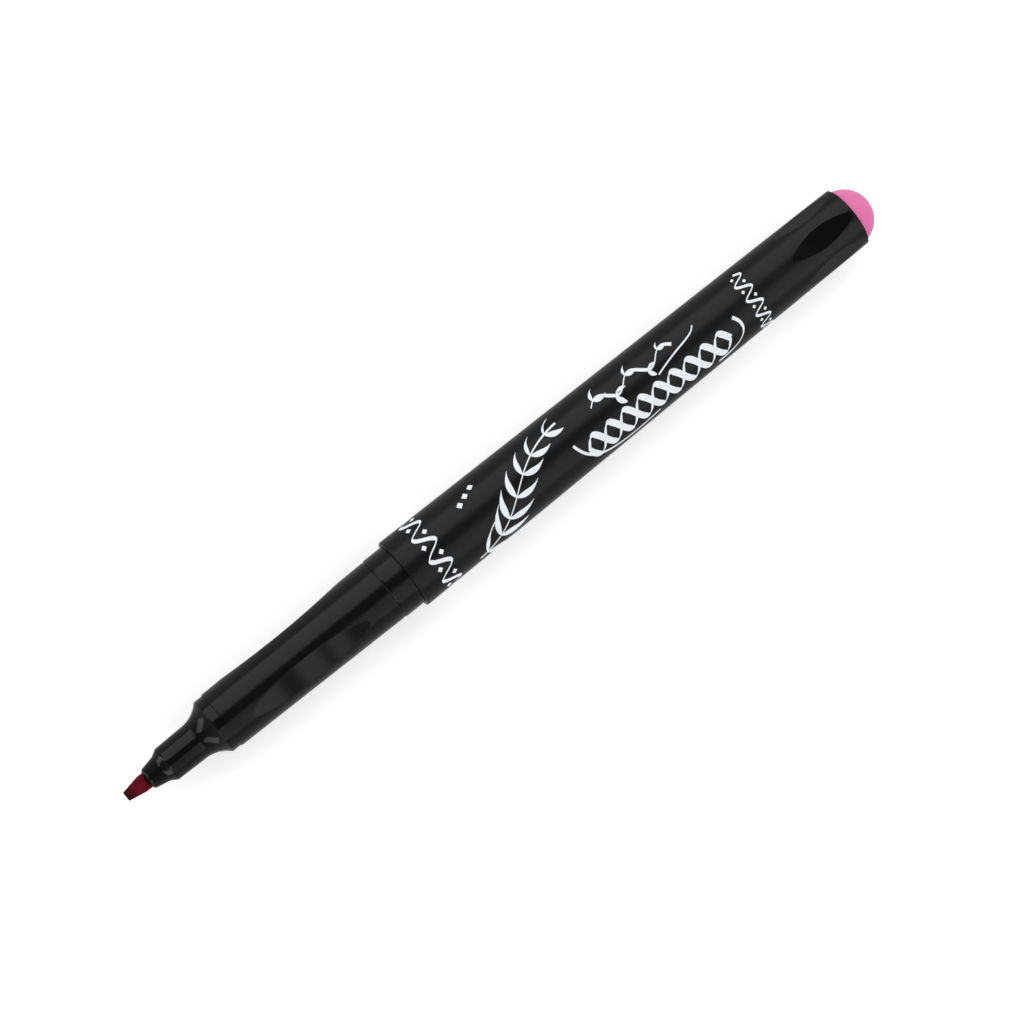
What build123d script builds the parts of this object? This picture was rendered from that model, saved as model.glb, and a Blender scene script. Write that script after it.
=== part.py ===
"""Calligraphy marker without its cap.

A tapered barrel carries a grip section with finger facets. The grip section holds a flared nose with a flat
fibre nib, a fibre reservoir in a film sleeve feeds the nib, and a domed plug closes the barrel's tail.

Millimetres. The marker lies along X, with its nib towards -X and +Z up. Pieces are drawn in pen coordinates:
the X axis is the marker's own axis, and a station is the distance along it from the writing edge. place()
moves a finished piece so that the origin is under the marker's middle, on the surface that it lies on.
"""

from build123d import *
import math
import os

# --- Lengths along the marker, from the writing edge back ---------------------------------------------
NIB_REACH = 4.04  # writing edge to the rim of the nose
CONE_LENGTH = 2.20  # plain cone behind the nose's rim
NECK_LENGTH = 5.76  # straight stretch of the nose, with its front chamfer
SHOULDER_LENGTH = 3.54  # stretch where the nose flares up to the sealing ring
RING_LENGTH = 1.44
GRIP_LENGTH = 29.49
COLLAR_LENGTH = 3.30  # collar in front of the barrel's mouth, for the cap
BARREL_LENGTH = 82.58
DOME_HEIGHT = 3.60  # end plug, behind the rear rim

# --- Reservoir ----------------------------------------------------------------------------------------
RESERVOIR_RADIUS = 3.30
RESERVOIR_LENGTH = 90.0
RESERVOIR_SETBACK = 2.0  # behind the nose
FILM_WALL = 0.12

# --- Walls and steps, each added to what it encloses --------------------------------------------------
SPIGOT_WALL = 0.75
MOUTH_WALL = 1.33
MOUTH_STEP = 0.61  # barrel's mouth down to the collar, as thick as the cap's wall
TAIL_WALL = 1.00
PLUG_BORE_MARGIN = 0.45  # plug bore over the reservoir, so that the reservoir can be changed
GRIP_STEP = 0.08  # collar down to the grip's rear
GRIP_TAPER = 0.34  # grip's rear down to its front
RING_STEP = 0.15  # grip's front down to the sealing ring
NOSE_BORE_WALL = 0.65

# --- Nib ----------------------------------------------------------------------------------------------
NIB_WIDTH = 2.50
NIB_THICKNESS = 1.50
NIB_CORNER = 0.40
NIB_LENGTH = 33.0
EDGE_WIDTH = 1.45  # writing edge, across the marker
EDGE_THICKNESS = 0.40
SIDE_TAPER = 2.80  # length over which the nib's sides close in
BEVEL_LENGTH = 1.45  # length of the two bevels that make the writing edge
TAIL_TAPER = 1.60
TAIL_THICKNESS = 0.70

# --- Nose ---------------------------------------------------------------------------------------------
LIP_WALL = 0.42  # beside the nib, at the nose's rim
LIP_HEIGHT = 0.75  # the nose's end is domed in front of its rim
CONE_RISE = 0.45  # gain in radius over the plain cone
NECK_STEP = 0.61  # above the end of the plain cone
NECK_RISE = 0.08  # gain in the neck's radius over its straight stretch
NECK_CHAMFER = 1.00  # sloping front end
NOSE_SEAT_LENGTH = 8.0
NOSE_SEAT_WALL = 0.85
NOSE_FRONT_WALL = 9.0  # solid stretch that guides the nib, from the nose's rim

# --- Grip section -------------------------------------------------------------------------------------
FACETS = 3
FACET_TURN = 90.0  # first facet, from +Z towards +Y
FACET_START = 3.6  # from the grip's front
FACET_LENGTH = 21.1
FACET_DEPTH = 0.40
SNAP_GROOVE_LENGTH = 0.30  # groove in front of the collar, for the cap's catch
SNAP_GROOVE_DEPTH = 0.10
SPIGOT_LENGTH = 13.0  # from the barrel's mouth
BEAD_HEIGHT = 0.05
BEAD_LENGTH = 0.9
BEADS = 2
BEAD_PITCH = 6.0
BEAD_INSET = 3.0  # last bead, from the spigot's end

# --- Barrel -------------------------------------------------------------------------------------------
SPIGOT_RELIEF = 0.30  # behind the spigot's end
SPIGOT_LEDGE = 0.25
PLUG_LEDGE = 0.15
PLUG_BORE_DEPTH = 6.5
CENTRING_RIBS = 4
CENTRING_RIB_WIDTH = 0.6
RIB_ROOT = 0.3  # how far a centring rib runs into the wall
SCALLOPS = 6
SCALLOP_LENGTH = 11.2
SCALLOP_INSET = 0.3  # from the rear rim
SCALLOP_DEPTH = 0.27
SCALLOP_RUN_OUT = 0.35  # share of the depth that fades at a slope, so that the ends are clean

# --- End plug -----------------------------------------------------------------------------------------
PLUG_LIP = 0.14  # rim left in sight round the dome
PLUG_SKIRT_LENGTH = 6.0
PLUG_WALL = 0.85
PLUG_FINS = 4
FIN_WIDTH = 0.9
FIN_RADIUS = 2.6

# --- Edges and clearances -----------------------------------------------------------------------------
EDGE = 0.12  # rounding of the outer edges
COLLAR_EDGE = 0.07
RIM_CHAMFER = 0.30  # barrel's rear rim
LEAD_IN = 0.40  # chamfers that start a press or sliding fit
SLIDE_FIT = 0.02  # radial, between pieces that pull apart
NIB_FIT = 0.03  # each side, round the nib
FILM_FIT = 0.03  # between the film and the fibre
RESERVOIR_GAP = 0.13  # between the film and what surrounds it
END_GAP = 0.20  # along the marker, in front of the end plug's fins and behind the nose
REACH = 2.0  # how far a cutter runs past what it cuts

# --- Stations -----------------------------------------------------------------------------------------
NECK_FRONT = NIB_REACH + CONE_LENGTH
SHOULDER = NECK_FRONT + NECK_LENGTH
RING_FRONT = SHOULDER + SHOULDER_LENGTH
GRIP_FRONT = RING_FRONT + RING_LENGTH
COLLAR_FRONT = GRIP_FRONT + GRIP_LENGTH
MOUTH = COLLAR_FRONT + COLLAR_LENGTH
TAIL = MOUTH + BARREL_LENGTH
LENGTH = TAIL + DOME_HEIGHT
NOSE_REAR = GRIP_FRONT + NOSE_SEAT_LENGTH
SPIGOT_END = MOUTH + SPIGOT_LENGTH
PLUG_BORE_FRONT = TAIL - PLUG_BORE_DEPTH
RESERVOIR_FRONT = NOSE_REAR + RESERVOIR_SETBACK
RESERVOIR_REAR = RESERVOIR_FRONT + RESERVOIR_LENGTH

# --- Radii, from the reservoir outwards ---------------------------------------------------------------
RESERVOIR_BORE = RESERVOIR_RADIUS + RESERVOIR_GAP
SPIGOT_RADIUS = RESERVOIR_BORE + SPIGOT_WALL
SPIGOT_BORE = SPIGOT_RADIUS + BEAD_HEIGHT + SLIDE_FIT
MOUTH_RADIUS = SPIGOT_BORE + MOUTH_WALL
COLLAR_RADIUS = MOUTH_RADIUS - MOUTH_STEP
PLUG_BORE = RESERVOIR_RADIUS + PLUG_BORE_MARGIN
TAIL_RADIUS = PLUG_BORE + TAIL_WALL
GRIP_REAR_RADIUS = COLLAR_RADIUS - GRIP_STEP
GRIP_FRONT_RADIUS = GRIP_REAR_RADIUS - GRIP_TAPER
RING_RADIUS = GRIP_FRONT_RADIUS - RING_STEP
NOSE_BORE = GRIP_FRONT_RADIUS - NOSE_BORE_WALL
LIP_RADIUS = NIB_WIDTH / 2 + LIP_WALL
CONE_RADIUS = LIP_RADIUS + CONE_RISE
NECK_RADIUS = CONE_RADIUS + NECK_STEP
RIM_RADIUS = TAIL_RADIUS - RIM_CHAMFER
DOME_RADIUS = RIM_RADIUS - PLUG_LIP
LYING_HEIGHT = max(MOUTH_RADIUS, TAIL_RADIUS)


# --- Helpers ------------------------------------------------------------------------------------------
def turned(*outline):
    """Turn an outline of (station, radius) points round the marker's axis."""
    return revolve(make_face(Polyline(*outline, close=True)), Axis.X)


def rounded(shape, size, *circles):
    """Round the circular edges at the given (station, radius) places."""
    edges = [
        edge
        for edge in shape.edges().filter_by(GeomType.CIRCLE)
        for station, radius in circles
        if abs(edge.arc_center.X - station) < 1e-4 and abs(edge.radius - radius) < 1e-4
    ]
    return fillet(edges, size)


def around(shape, count, first=0.0):
    """Copies of a shape drawn on the +Z side, spaced evenly round the axis, turning from +Z to +Y."""
    return [Rot(-(first + i * 360.0 / count), 0, 0) * shape for i in range(count)]


def between(station, start, end):
    """Value at a station on a straight line between two (station, value) points."""
    share = (station - start[0]) / (end[0] - start[0])
    return start[1] + share * (end[1] - start[1])


def barrel_radius(station):
    return between(station, (MOUTH, MOUTH_RADIUS), (TAIL, TAIL_RADIUS))


def grip_radius(station):
    return between(station, (GRIP_FRONT, GRIP_FRONT_RADIUS), (COLLAR_FRONT, GRIP_REAR_RADIUS))


def flat_cutter(floor, width):
    """Solid that cuts a long flat on the +Z side, down to a curve drawn as (station, radius)."""
    front, rear = floor @ 0, floor @ 1
    top = MOUTH_RADIUS + REACH
    roof = Polyline((rear.X, rear.Y), (rear.X, top), (front.X, top), (front.X, front.Y))
    return extrude(Plane.XZ * make_face([floor, roof]), width, both=True)


def place(shape):
    """Move a piece from pen coordinates to the marker's own frame."""
    return Pos(-LENGTH / 2, 0, LYING_HEIGHT) * shape


# --- Barrel -------------------------------------------------------------------------------------------
def scallop_cutter():
    """Leaf-shaped flat: its depth follows (1 - u^2)^2 along the barrel, u from -1 to 1 over its length."""
    middle = TAIL - SCALLOP_INSET - SCALLOP_LENGTH / 2
    points = []
    for i in range(-8, 9):
        u = 1.12 * i / 8
        swell = (1 - u * u) * abs(1 - u * u)
        depth = SCALLOP_DEPTH * (SCALLOP_RUN_OUT * (1 - u * u) + (1 - SCALLOP_RUN_OUT) * swell)
        station = middle + u * SCALLOP_LENGTH / 2
        points.append((station, barrel_radius(station) - depth))
    return flat_cutter(Spline(*points), TAIL_RADIUS)


def centring_ribs():
    """Long ribs on the bore that hold the reservoir in the middle."""
    front, rear = SPIGOT_END + REACH, RESERVOIR_REAR
    root = between(rear, (SPIGOT_END, SPIGOT_BORE), (TAIL, PLUG_BORE)) + RIB_ROOT
    height = root - RESERVOIR_BORE
    rib = Pos((front + rear) / 2, 0, RESERVOIR_BORE + height / 2) * Box(rear - front, CENTRING_RIB_WIDTH, height)
    return around(rib, CENTRING_RIBS, 45.0)


def make_barrel():
    ledge = SPIGOT_END + SPIGOT_RELIEF
    shell = turned(
        (MOUTH, SPIGOT_BORE),
        (MOUTH, MOUTH_RADIUS),
        (TAIL - RIM_CHAMFER, barrel_radius(TAIL - RIM_CHAMFER)),
        (TAIL, RIM_RADIUS),
        (TAIL, PLUG_BORE),
        (PLUG_BORE_FRONT, PLUG_BORE),
        (PLUG_BORE_FRONT, PLUG_BORE - PLUG_LEDGE),
        (ledge, SPIGOT_BORE - SPIGOT_LEDGE),
        (ledge, SPIGOT_BORE),
    )
    shell = rounded(shell, EDGE, (MOUTH, MOUTH_RADIUS))
    for cutter in around(scallop_cutter(), SCALLOPS):
        shell -= cutter
    for rib in centring_ribs():
        shell += rib
    return shell


# --- Grip section -------------------------------------------------------------------------------------
def facet_cutter():
    """Finger facet: flat across the marker, and one long arc along it."""
    front = GRIP_FRONT + FACET_START
    middle, rear = front + FACET_LENGTH / 2, front + FACET_LENGTH
    arc = ThreePointArc(
        (front, grip_radius(front)),
        (middle, grip_radius(middle) - FACET_DEPTH),
        (rear, grip_radius(rear)),
    )
    lead_in = Line(arc @ 0 - arc % 0 * REACH, arc @ 0)
    lead_out = Line(arc @ 1, arc @ 1 + arc % 1 * REACH)
    return flat_cutter(Wire([lead_in, arc, lead_out]), GRIP_REAR_RADIUS)


def spigot_bead(station):
    """Low ring on the spigot that grips the barrel's bore."""
    half, crest = BEAD_LENGTH / 2, SPIGOT_RADIUS + BEAD_HEIGHT
    return turned(
        (station - half, RESERVOIR_BORE),
        (station - half, SPIGOT_RADIUS),
        (station - half / 2, crest),
        (station + half / 2, crest),
        (station + half, SPIGOT_RADIUS),
        (station + half, RESERVOIR_BORE),
    )


def make_grip_section():
    body = turned(
        (GRIP_FRONT, NOSE_BORE),
        (GRIP_FRONT, GRIP_FRONT_RADIUS),
        (COLLAR_FRONT - SNAP_GROOVE_LENGTH, grip_radius(COLLAR_FRONT - SNAP_GROOVE_LENGTH)),
        (COLLAR_FRONT - SNAP_GROOVE_LENGTH / 2, GRIP_REAR_RADIUS - SNAP_GROOVE_DEPTH),
        (COLLAR_FRONT, GRIP_REAR_RADIUS),
        (COLLAR_FRONT, COLLAR_RADIUS),
        (MOUTH, COLLAR_RADIUS),
        (MOUTH, SPIGOT_RADIUS),
        (SPIGOT_END - LEAD_IN, SPIGOT_RADIUS),
        (SPIGOT_END, SPIGOT_RADIUS - LEAD_IN),
        (SPIGOT_END, RESERVOIR_BORE),
        (NOSE_REAR + END_GAP, RESERVOIR_BORE),
        (NOSE_REAR + END_GAP, NOSE_BORE),
    )
    body = rounded(body, EDGE, (GRIP_FRONT, GRIP_FRONT_RADIUS))
    body = rounded(body, COLLAR_EDGE, (COLLAR_FRONT, COLLAR_RADIUS))
    for i in range(BEADS):
        body += spigot_bead(SPIGOT_END - BEAD_INSET - i * BEAD_PITCH)
    for cutter in around(facet_cutter(), FACETS, FACET_TURN):
        body -= cutter
    return body


# --- Nose ---------------------------------------------------------------------------------------------
def flare(front, rear):
    """Concave arc between two (station, radius) points that leaves the first one along the axis."""
    return TangentArc(front, rear, tangent=(1, 0))


def nose_core():
    """The solid nose: domed end, cone, chamfered neck, flare, sealing ring and seat."""
    neck_rear = (SHOULDER, NECK_RADIUS + NECK_RISE)
    dome = ThreePointArc(
        (NIB_REACH - LIP_HEIGHT, 0),
        (NIB_REACH - LIP_HEIGHT * 0.7, LIP_RADIUS * 0.55),
        (NIB_REACH, LIP_RADIUS),
    )
    outline = [
        dome,
        Polyline(
            (NIB_REACH, LIP_RADIUS),
            (NECK_FRONT, CONE_RADIUS),
            (NECK_FRONT + NECK_CHAMFER, NECK_RADIUS),
            neck_rear,
        ),
        flare(neck_rear, (RING_FRONT, RING_RADIUS)),
        Polyline(
            (RING_FRONT, RING_RADIUS),
            (GRIP_FRONT, RING_RADIUS),
            (GRIP_FRONT, NOSE_BORE),
            (NOSE_REAR - LEAD_IN, NOSE_BORE),
            (NOSE_REAR, NOSE_BORE - LEAD_IN),
            (NOSE_REAR, 0),
            (NIB_REACH - LIP_HEIGHT, 0),
        ),
    ]
    core = revolve(make_face(outline), Axis.X)
    return rounded(core, EDGE, (RING_FRONT, RING_RADIUS))


def nib_bar(length, gap=0.0):
    """Plain bar with the nib's section, from station 0, with a gap all round."""
    bar = Box(length, NIB_WIDTH + 2 * gap, NIB_THICKNESS + 2 * gap)
    return Pos(length / 2, 0, 0) * fillet(bar.edges().filter_by(Axis.X), NIB_CORNER + gap)


def make_nose_cone():
    hollow_front, hollow_radius = NIB_REACH + NOSE_FRONT_WALL, NOSE_BORE - NOSE_SEAT_WALL
    hollow = turned(
        (hollow_front, 0),
        (hollow_front, NIB_THICKNESS / 2),
        (hollow_front + hollow_radius, hollow_radius),
        (NOSE_REAR, hollow_radius),
        (NOSE_REAR, 0),
    )
    return nose_core() - hollow - nib_bar(NOSE_REAR, NIB_FIT)


# --- Nib and reservoir --------------------------------------------------------------------------------
def wedge(width_at):
    """Outline that is symmetric about the axis, from (station, full width) points."""
    upper = [(station, width / 2) for station, width in width_at]
    lower = [(station, -width / 2) for station, width in reversed(width_at)]
    return make_face(Polyline(*upper, *lower, close=True))


def make_nib():
    plan = wedge([(0, EDGE_WIDTH), (SIDE_TAPER, NIB_WIDTH), (NIB_LENGTH, NIB_WIDTH)])
    side = wedge(
        [
            (0, EDGE_THICKNESS),
            (BEVEL_LENGTH, NIB_THICKNESS),
            (NIB_LENGTH - TAIL_TAPER, NIB_THICKNESS),
            (NIB_LENGTH, TAIL_THICKNESS),
        ]
    )
    from_above = extrude(plan, NIB_THICKNESS, both=True)
    from_the_side = extrude(Plane.XZ * side, NIB_WIDTH, both=True)
    return nib_bar(NIB_LENGTH) & from_above & from_the_side


def make_fibre_core():
    radius = RESERVOIR_RADIUS - FILM_WALL - FILM_FIT
    core = Pos(RESERVOIR_FRONT, 0, 0) * Rot(0, 90, 0) * Cylinder(
        radius, RESERVOIR_LENGTH, align=(Align.CENTER, Align.CENTER, Align.MIN)
    )
    return core - nib_bar(NIB_LENGTH + END_GAP, NIB_FIT)


def make_film():
    return turned(
        (RESERVOIR_FRONT, RESERVOIR_RADIUS - FILM_WALL),
        (RESERVOIR_FRONT, RESERVOIR_RADIUS),
        (RESERVOIR_REAR, RESERVOIR_RADIUS),
        (RESERVOIR_REAR, RESERVOIR_RADIUS - FILM_WALL),
    )


# --- End plug -----------------------------------------------------------------------------------------
def plug_fins(skirt_bore):
    """Crossed fins inside the plug that reach forward and stop the reservoir."""
    front = RESERVOIR_REAR + END_GAP
    rear = TAIL + DOME_HEIGHT / 3
    limit = turned(
        (front, 0),
        (front, FIN_RADIUS - LEAD_IN),
        (front + LEAD_IN, FIN_RADIUS),
        (TAIL - PLUG_SKIRT_LENGTH, FIN_RADIUS),
        (TAIL - PLUG_SKIRT_LENGTH, skirt_bore + PLUG_WALL / 2),
        (rear, skirt_bore + PLUG_WALL / 2),
        (rear, 0),
    )
    fin = Pos((front + rear) / 2, 0, skirt_bore / 2) * Box(rear - front, FIN_WIDTH, skirt_bore + PLUG_WALL)
    return [one & limit for one in around(fin, PLUG_FINS)]


def make_end_plug():
    skirt_radius = PLUG_BORE - SLIDE_FIT
    skirt_bore = skirt_radius - PLUG_WALL
    skirt_front = TAIL - PLUG_SKIRT_LENGTH
    sphere_radius = (DOME_HEIGHT**2 + DOME_RADIUS**2) / (2 * DOME_HEIGHT)
    lean = math.asin(DOME_RADIUS / sphere_radius) / 2
    halfway = (LENGTH - sphere_radius * (1 - math.cos(lean)), sphere_radius * math.sin(lean))
    outline = [
        ThreePointArc((TAIL, DOME_RADIUS), halfway, (LENGTH, 0)),
        Polyline(
            (LENGTH, 0),
            (TAIL + DOME_HEIGHT / 3, 0),
            (TAIL, skirt_bore),
            (skirt_front, skirt_bore),
            (skirt_front, skirt_radius - LEAD_IN),
            (skirt_front + LEAD_IN, skirt_radius),
            (TAIL, skirt_radius),
            (TAIL, DOME_RADIUS),
        ),
    ]
    plug = revolve(make_face(outline), Axis.X)
    for fin in plug_fins(skirt_bore):
        plug += fin
    return plug


PIECES = {
    "barrel": make_barrel,
    "grip_section": make_grip_section,
    "nose_cone": make_nose_cone,
    "chisel_nib": make_nib,
    "reservoir_core": make_fibre_core,
    "reservoir_film": make_film,
    "end_plug": make_end_plug,
}

os.makedirs("parts", exist_ok=True)
for name, make_piece in PIECES.items():
    export_step(place(make_piece()), f"parts/{name}.step")
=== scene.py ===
"""Looks of an uncapped calligraphy marker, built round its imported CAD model, starting from its barrel."""

import math

import bpy
import numpy as np
from mathutils import Matrix, Vector


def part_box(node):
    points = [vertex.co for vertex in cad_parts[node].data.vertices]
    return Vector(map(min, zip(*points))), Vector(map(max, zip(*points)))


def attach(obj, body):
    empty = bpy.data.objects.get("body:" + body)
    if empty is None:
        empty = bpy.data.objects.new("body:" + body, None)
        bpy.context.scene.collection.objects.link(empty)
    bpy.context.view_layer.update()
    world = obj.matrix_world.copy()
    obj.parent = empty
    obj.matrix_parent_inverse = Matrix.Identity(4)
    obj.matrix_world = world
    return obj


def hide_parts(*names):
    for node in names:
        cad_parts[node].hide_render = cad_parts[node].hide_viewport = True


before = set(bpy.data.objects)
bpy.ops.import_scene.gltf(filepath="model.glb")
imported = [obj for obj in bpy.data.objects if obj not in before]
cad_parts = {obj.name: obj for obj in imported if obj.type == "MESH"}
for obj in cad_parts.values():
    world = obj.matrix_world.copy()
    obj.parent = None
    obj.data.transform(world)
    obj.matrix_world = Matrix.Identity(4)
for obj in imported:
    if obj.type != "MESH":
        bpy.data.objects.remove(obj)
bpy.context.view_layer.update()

# ======================================================================================================
# Barrel
# One long injection moulding in black polypropylene, drawn off its core along its own axis, so that it has no
# seam. Six leaf-shaped scallops round the tail are polished in the mould. Its mouth takes the grip section's
# spigot, its rear bore takes the end plug, and four ribs inside hold the reservoir in the middle.
# ======================================================================================================
MM = 0.001
barrel_low, barrel_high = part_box("barrel")
axis_height = (barrel_low.z + barrel_high.z) / 2
writing_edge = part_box("chisel_nib")[0].x


def station(x):
    """Distance in mm from the nib's writing edge, along the marker, of a place x in the frame."""
    return (x - writing_edge) / MM


mouth = station(barrel_low.x)
rim = station(barrel_high.x)
mouth_radius = (barrel_high.z - barrel_low.z) / 2 / MM
tail_radius = 4.75
rim_chamfer = 0.30
spigot_bore = 4.25
spigot_bore_rear = station(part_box("grip_section")[1].x) + 0.30
plug_bore = 3.75
plug_bore_front = rim - 6.5
scallops = 6
scallop_middle = rim - 5.9
scallop_half_length = 5.6
scallop_depth = 0.27
scallop_run_out = 0.35
centring_ribs = 4
centring_rib_width = 0.6
centring_rib_crest, centring_rib_foot = 3.43, 3.75
no_cut = -0.3


def outline(corners):
    """Closed profile of (station, radius) rows through corners given as (station, radius, rounding).

    A corner C with rounding q becomes the curve (1-t)^2 A + 2t(1-t) C + t^2 B for t from 0 to 1, where A and
    B lie q away from C, towards the corners before and after it, with one more row just outside A and B to
    keep the sides straight. A corner with no rounding stays one row.
    """
    places = np.array([corner[:2] for corner in corners], float)
    before = np.roll(places, 1, axis=0) - places
    after = np.roll(places, -1, axis=0) - places
    t = np.linspace(0, 1, 5)[:, None]
    rows = []
    for place, back, ahead, corner in zip(places, before, after, corners):
        q = corner[2]
        if q == 0:
            rows.append(place[None])
            continue
        back, ahead = back / np.linalg.norm(back), ahead / np.linalg.norm(ahead)
        curve = place + q * ((1 - t) ** 2 * back + t**2 * ahead)
        rows += [(place + 1.3 * q * back)[None], curve, (place + 1.3 * q * ahead)[None]]
    return np.concatenate(rows).T


def sector_angles(edge, sectors, columns, first):
    """Angles round the axis, one row for each edge angle, with columns packed where each flat's edge runs.

    In each sector a column at share w of the half sector H lies e sin(pi w) from the flat's middle for w up
    to 1/2, and e + (H - e)(1 - sin(pi w)) from it beyond, where e is the row's edge angle.
    """
    half = np.pi / sectors
    w = np.arange(columns) / columns
    e = np.asarray(edge)[:, None]
    side = np.where(w < 0.5, e * np.sin(np.pi * w), e + (half - e) * (1 - np.sin(np.pi * w)))
    end = np.full_like(e, -half)
    sector = np.concatenate([end, -side[:, :0:-1], side], axis=1)
    return np.concatenate([sector + first + 2 * half * k for k in range(sectors)], axis=1)


def flatten(radii, depth, angles, sectors, first):
    """Radius, and share of flat from 0 to 1, of each row and column where long flats are cut round the axis.

    A flat at depth d under radius r is r' = (r - d) / cos(a), a being the angle from the flat's middle. The
    surface is the smooth smaller of r and r': (r + r' - sqrt((r - r')^2 + k^2)) / 2, with k the softness of
    the edge.
    """
    softness = 0.012
    half = np.pi / sectors
    from_middle = np.mod(angles - first + half, 2 * half) - half
    round_part = radii[:, None]
    flat_part = (round_part - depth[:, None]) / np.cos(from_middle)
    apart = np.sqrt((round_part - flat_part) ** 2 + softness**2)
    return (round_part + flat_part - apart) / 2, (1 + (round_part - flat_part) / apart) / 2


def around_axis(stations, radii, angles):
    """Points (x, r sin a, r cos a) round the marker's axis, in metres in the frame, rows by columns by 3."""
    x = writing_edge + np.broadcast_to(np.asarray(stations), angles.shape) * MM
    return np.stack([x, radii * np.sin(angles) * MM, axis_height + radii * np.cos(angles) * MM], axis=2)


def cut_flats(stations, radii, cut, sectors, columns, first=0.0):
    """Points of a turned profile with long flats cut round it, and each point's share of flat.

    A flat at depth d under radius r ends arccos(1 - d / r) from its middle. Where nothing is cut, the edge's
    columns stay a little way off the middle.
    """
    shallowest = 2e-3
    edge = np.arccos(np.clip(1 - cut / radii, 0, 1 - shallowest))
    angles = sector_angles(edge, sectors, columns, first)
    radius, flat_share = flatten(radii, cut, angles, sectors, first)
    return around_axis(stations[:, None], radius, angles), flat_share


def make_piece(name, grids, material, body, replaced=None, ring=False, sharp=35.0, polish=None):
    """One mesh from grids of points, each rows by columns by 3, whose columns close round a loop.

    Rows i and i+1 and columns j and j+1 give the face (i,j), (i+1,j), (i+1,j+1), (i,j+1), which points
    outwards where rows run towards the tail. A ring's last row joins its first; otherwise both end rows are
    single points.
    """
    points, faces, start = [], [], 0
    for grid in grids:
        rows, columns = grid.shape[:2]
        if ring:
            index = np.arange(rows * columns).reshape(rows, columns)
            index = np.concatenate([index, index[:1]])
            points.append(grid.reshape(-1, 3))
        else:
            index = np.zeros((rows, columns), int)
            index[1:-1] = 1 + np.arange((rows - 2) * columns).reshape(-1, columns)
            index[-1] = 1 + (rows - 2) * columns
            points.append(np.concatenate([grid[0, :1], grid[1:-1].reshape(-1, 3), grid[-1, :1]]))
        index = start + np.concatenate([index, index[:, :1]], axis=1)
        quads = np.stack([index[:-1, :-1], index[1:, :-1], index[1:, 1:], index[:-1, 1:]], axis=2)
        if ring:
            faces += quads.reshape(-1, 4).tolist()
        else:
            faces += quads[0, :, 1:].tolist()
            faces += quads[1:-1].reshape(-1, 4).tolist()
            faces += quads[-1][:, [0, 1, 3]].tolist()
        start += len(points[-1])
    mesh = bpy.data.meshes.new(name)
    mesh.from_pydata(np.concatenate(points).tolist(), [], faces)
    mesh.shade_smooth()
    mesh.set_sharp_from_angle(angle=math.radians(sharp))
    if polish is not None:
        attribute = mesh.attributes.new("polish", "FLOAT", "POINT")
        attribute.data.foreach_set("value", polish.astype(np.float32).ravel())
    mesh.materials.append(material)
    piece = bpy.data.objects.new(name, mesh)
    bpy.context.scene.collection.objects.link(piece)
    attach(piece, body)
    if replaced:
        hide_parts(replaced)
    return piece


def linear(code):
    """Linear RGBA of an sRGB hex colour."""
    srgb = np.array([int(code[i : i + 2], 16) / 255 for i in (1, 3, 5)])
    value = np.where(srgb <= 0.04045, srgb / 12.92, ((srgb + 0.055) / 1.055) ** 2.4)
    return (*value.tolist(), 1.0)


def add_node(tree, kind, settings=None, inputs=None):
    """Add a node with its settings. Each input is a value or another node's output socket."""
    node = tree.nodes.new(kind)
    for name, value in (settings or {}).items():
        setattr(node, name, value)
    for name, value in (inputs or {}).items():
        if isinstance(value, bpy.types.NodeSocket):
            tree.links.new(value, node.inputs[name])
        else:
            node.inputs[name].default_value = value
    return node


def new_material(name):
    """Empty node material, and its Principled shader already joined to its output."""
    material = bpy.data.materials.new(name)
    material.use_nodes = True
    tree = material.node_tree
    tree.nodes.clear()
    shader = add_node(tree, "ShaderNodeBsdfPrincipled")
    add_node(tree, "ShaderNodeOutputMaterial", inputs={"Surface": shader.outputs["BSDF"]})
    return material, tree, shader


def black_polypropylene(name, skin, polished):
    """Injection-moulded polypropylene full of carbon black.

    It is a deep neutral black. The moulded skin spreads reflections a little, has a faint orange peel, and
    carries a few hairlines along the marker from handling. What the mould's polished inserts shape, marked by
    the polish attribute, is glossier.
    """
    orange_peel, hairline_width, hairline_length = 0.9 * MM, 0.06 * MM, 6.0 * MM
    material, tree, shader = new_material(name)
    place = add_node(tree, "ShaderNodeTexCoord").outputs["Object"]
    peel = add_node(
        tree, "ShaderNodeTexNoise", inputs={"Vector": place, "Scale": 1 / orange_peel, "Detail": 2.0}
    )
    stretch = (1 / hairline_length, 1 / hairline_width, 1 / hairline_width)
    along = add_node(tree, "ShaderNodeMapping", inputs={"Vector": place, "Scale": stretch})
    hairs = add_node(
        tree,
        "ShaderNodeTexNoise",
        inputs={"Vector": along.outputs["Vector"], "Scale": 1.0, "Detail": 1.0},
    )
    rubbed = add_node(
        tree,
        "ShaderNodeMapRange",
        inputs={
            "Value": hairs.outputs["Fac"],
            "From Min": 0.60,
            "From Max": 0.74,
            "To Min": skin,
            "To Max": skin + 0.08,
        },
    )
    share = add_node(tree, "ShaderNodeAttribute", {"attribute_name": "polish"}).outputs["Fac"]
    gloss = add_node(
        tree,
        "ShaderNodeMix",
        inputs={"Factor": share, "A": rubbed.outputs["Result"], "B": polished},
    )
    bump = add_node(
        tree,
        "ShaderNodeBump",
        inputs={"Height": peel.outputs["Fac"], "Strength": 0.3, "Distance": 0.003 * MM},
    )
    shader.inputs["Base Color"].default_value = linear("#0a0a0c")
    shader.inputs["IOR"].default_value = 1.49
    shader.inputs["Specular IOR Level"].default_value = 0.26
    tree.links.new(gloss.outputs["Result"], shader.inputs["Roughness"])
    tree.links.new(bump.outputs["Normal"], shader.inputs["Normal"])
    return material


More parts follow.
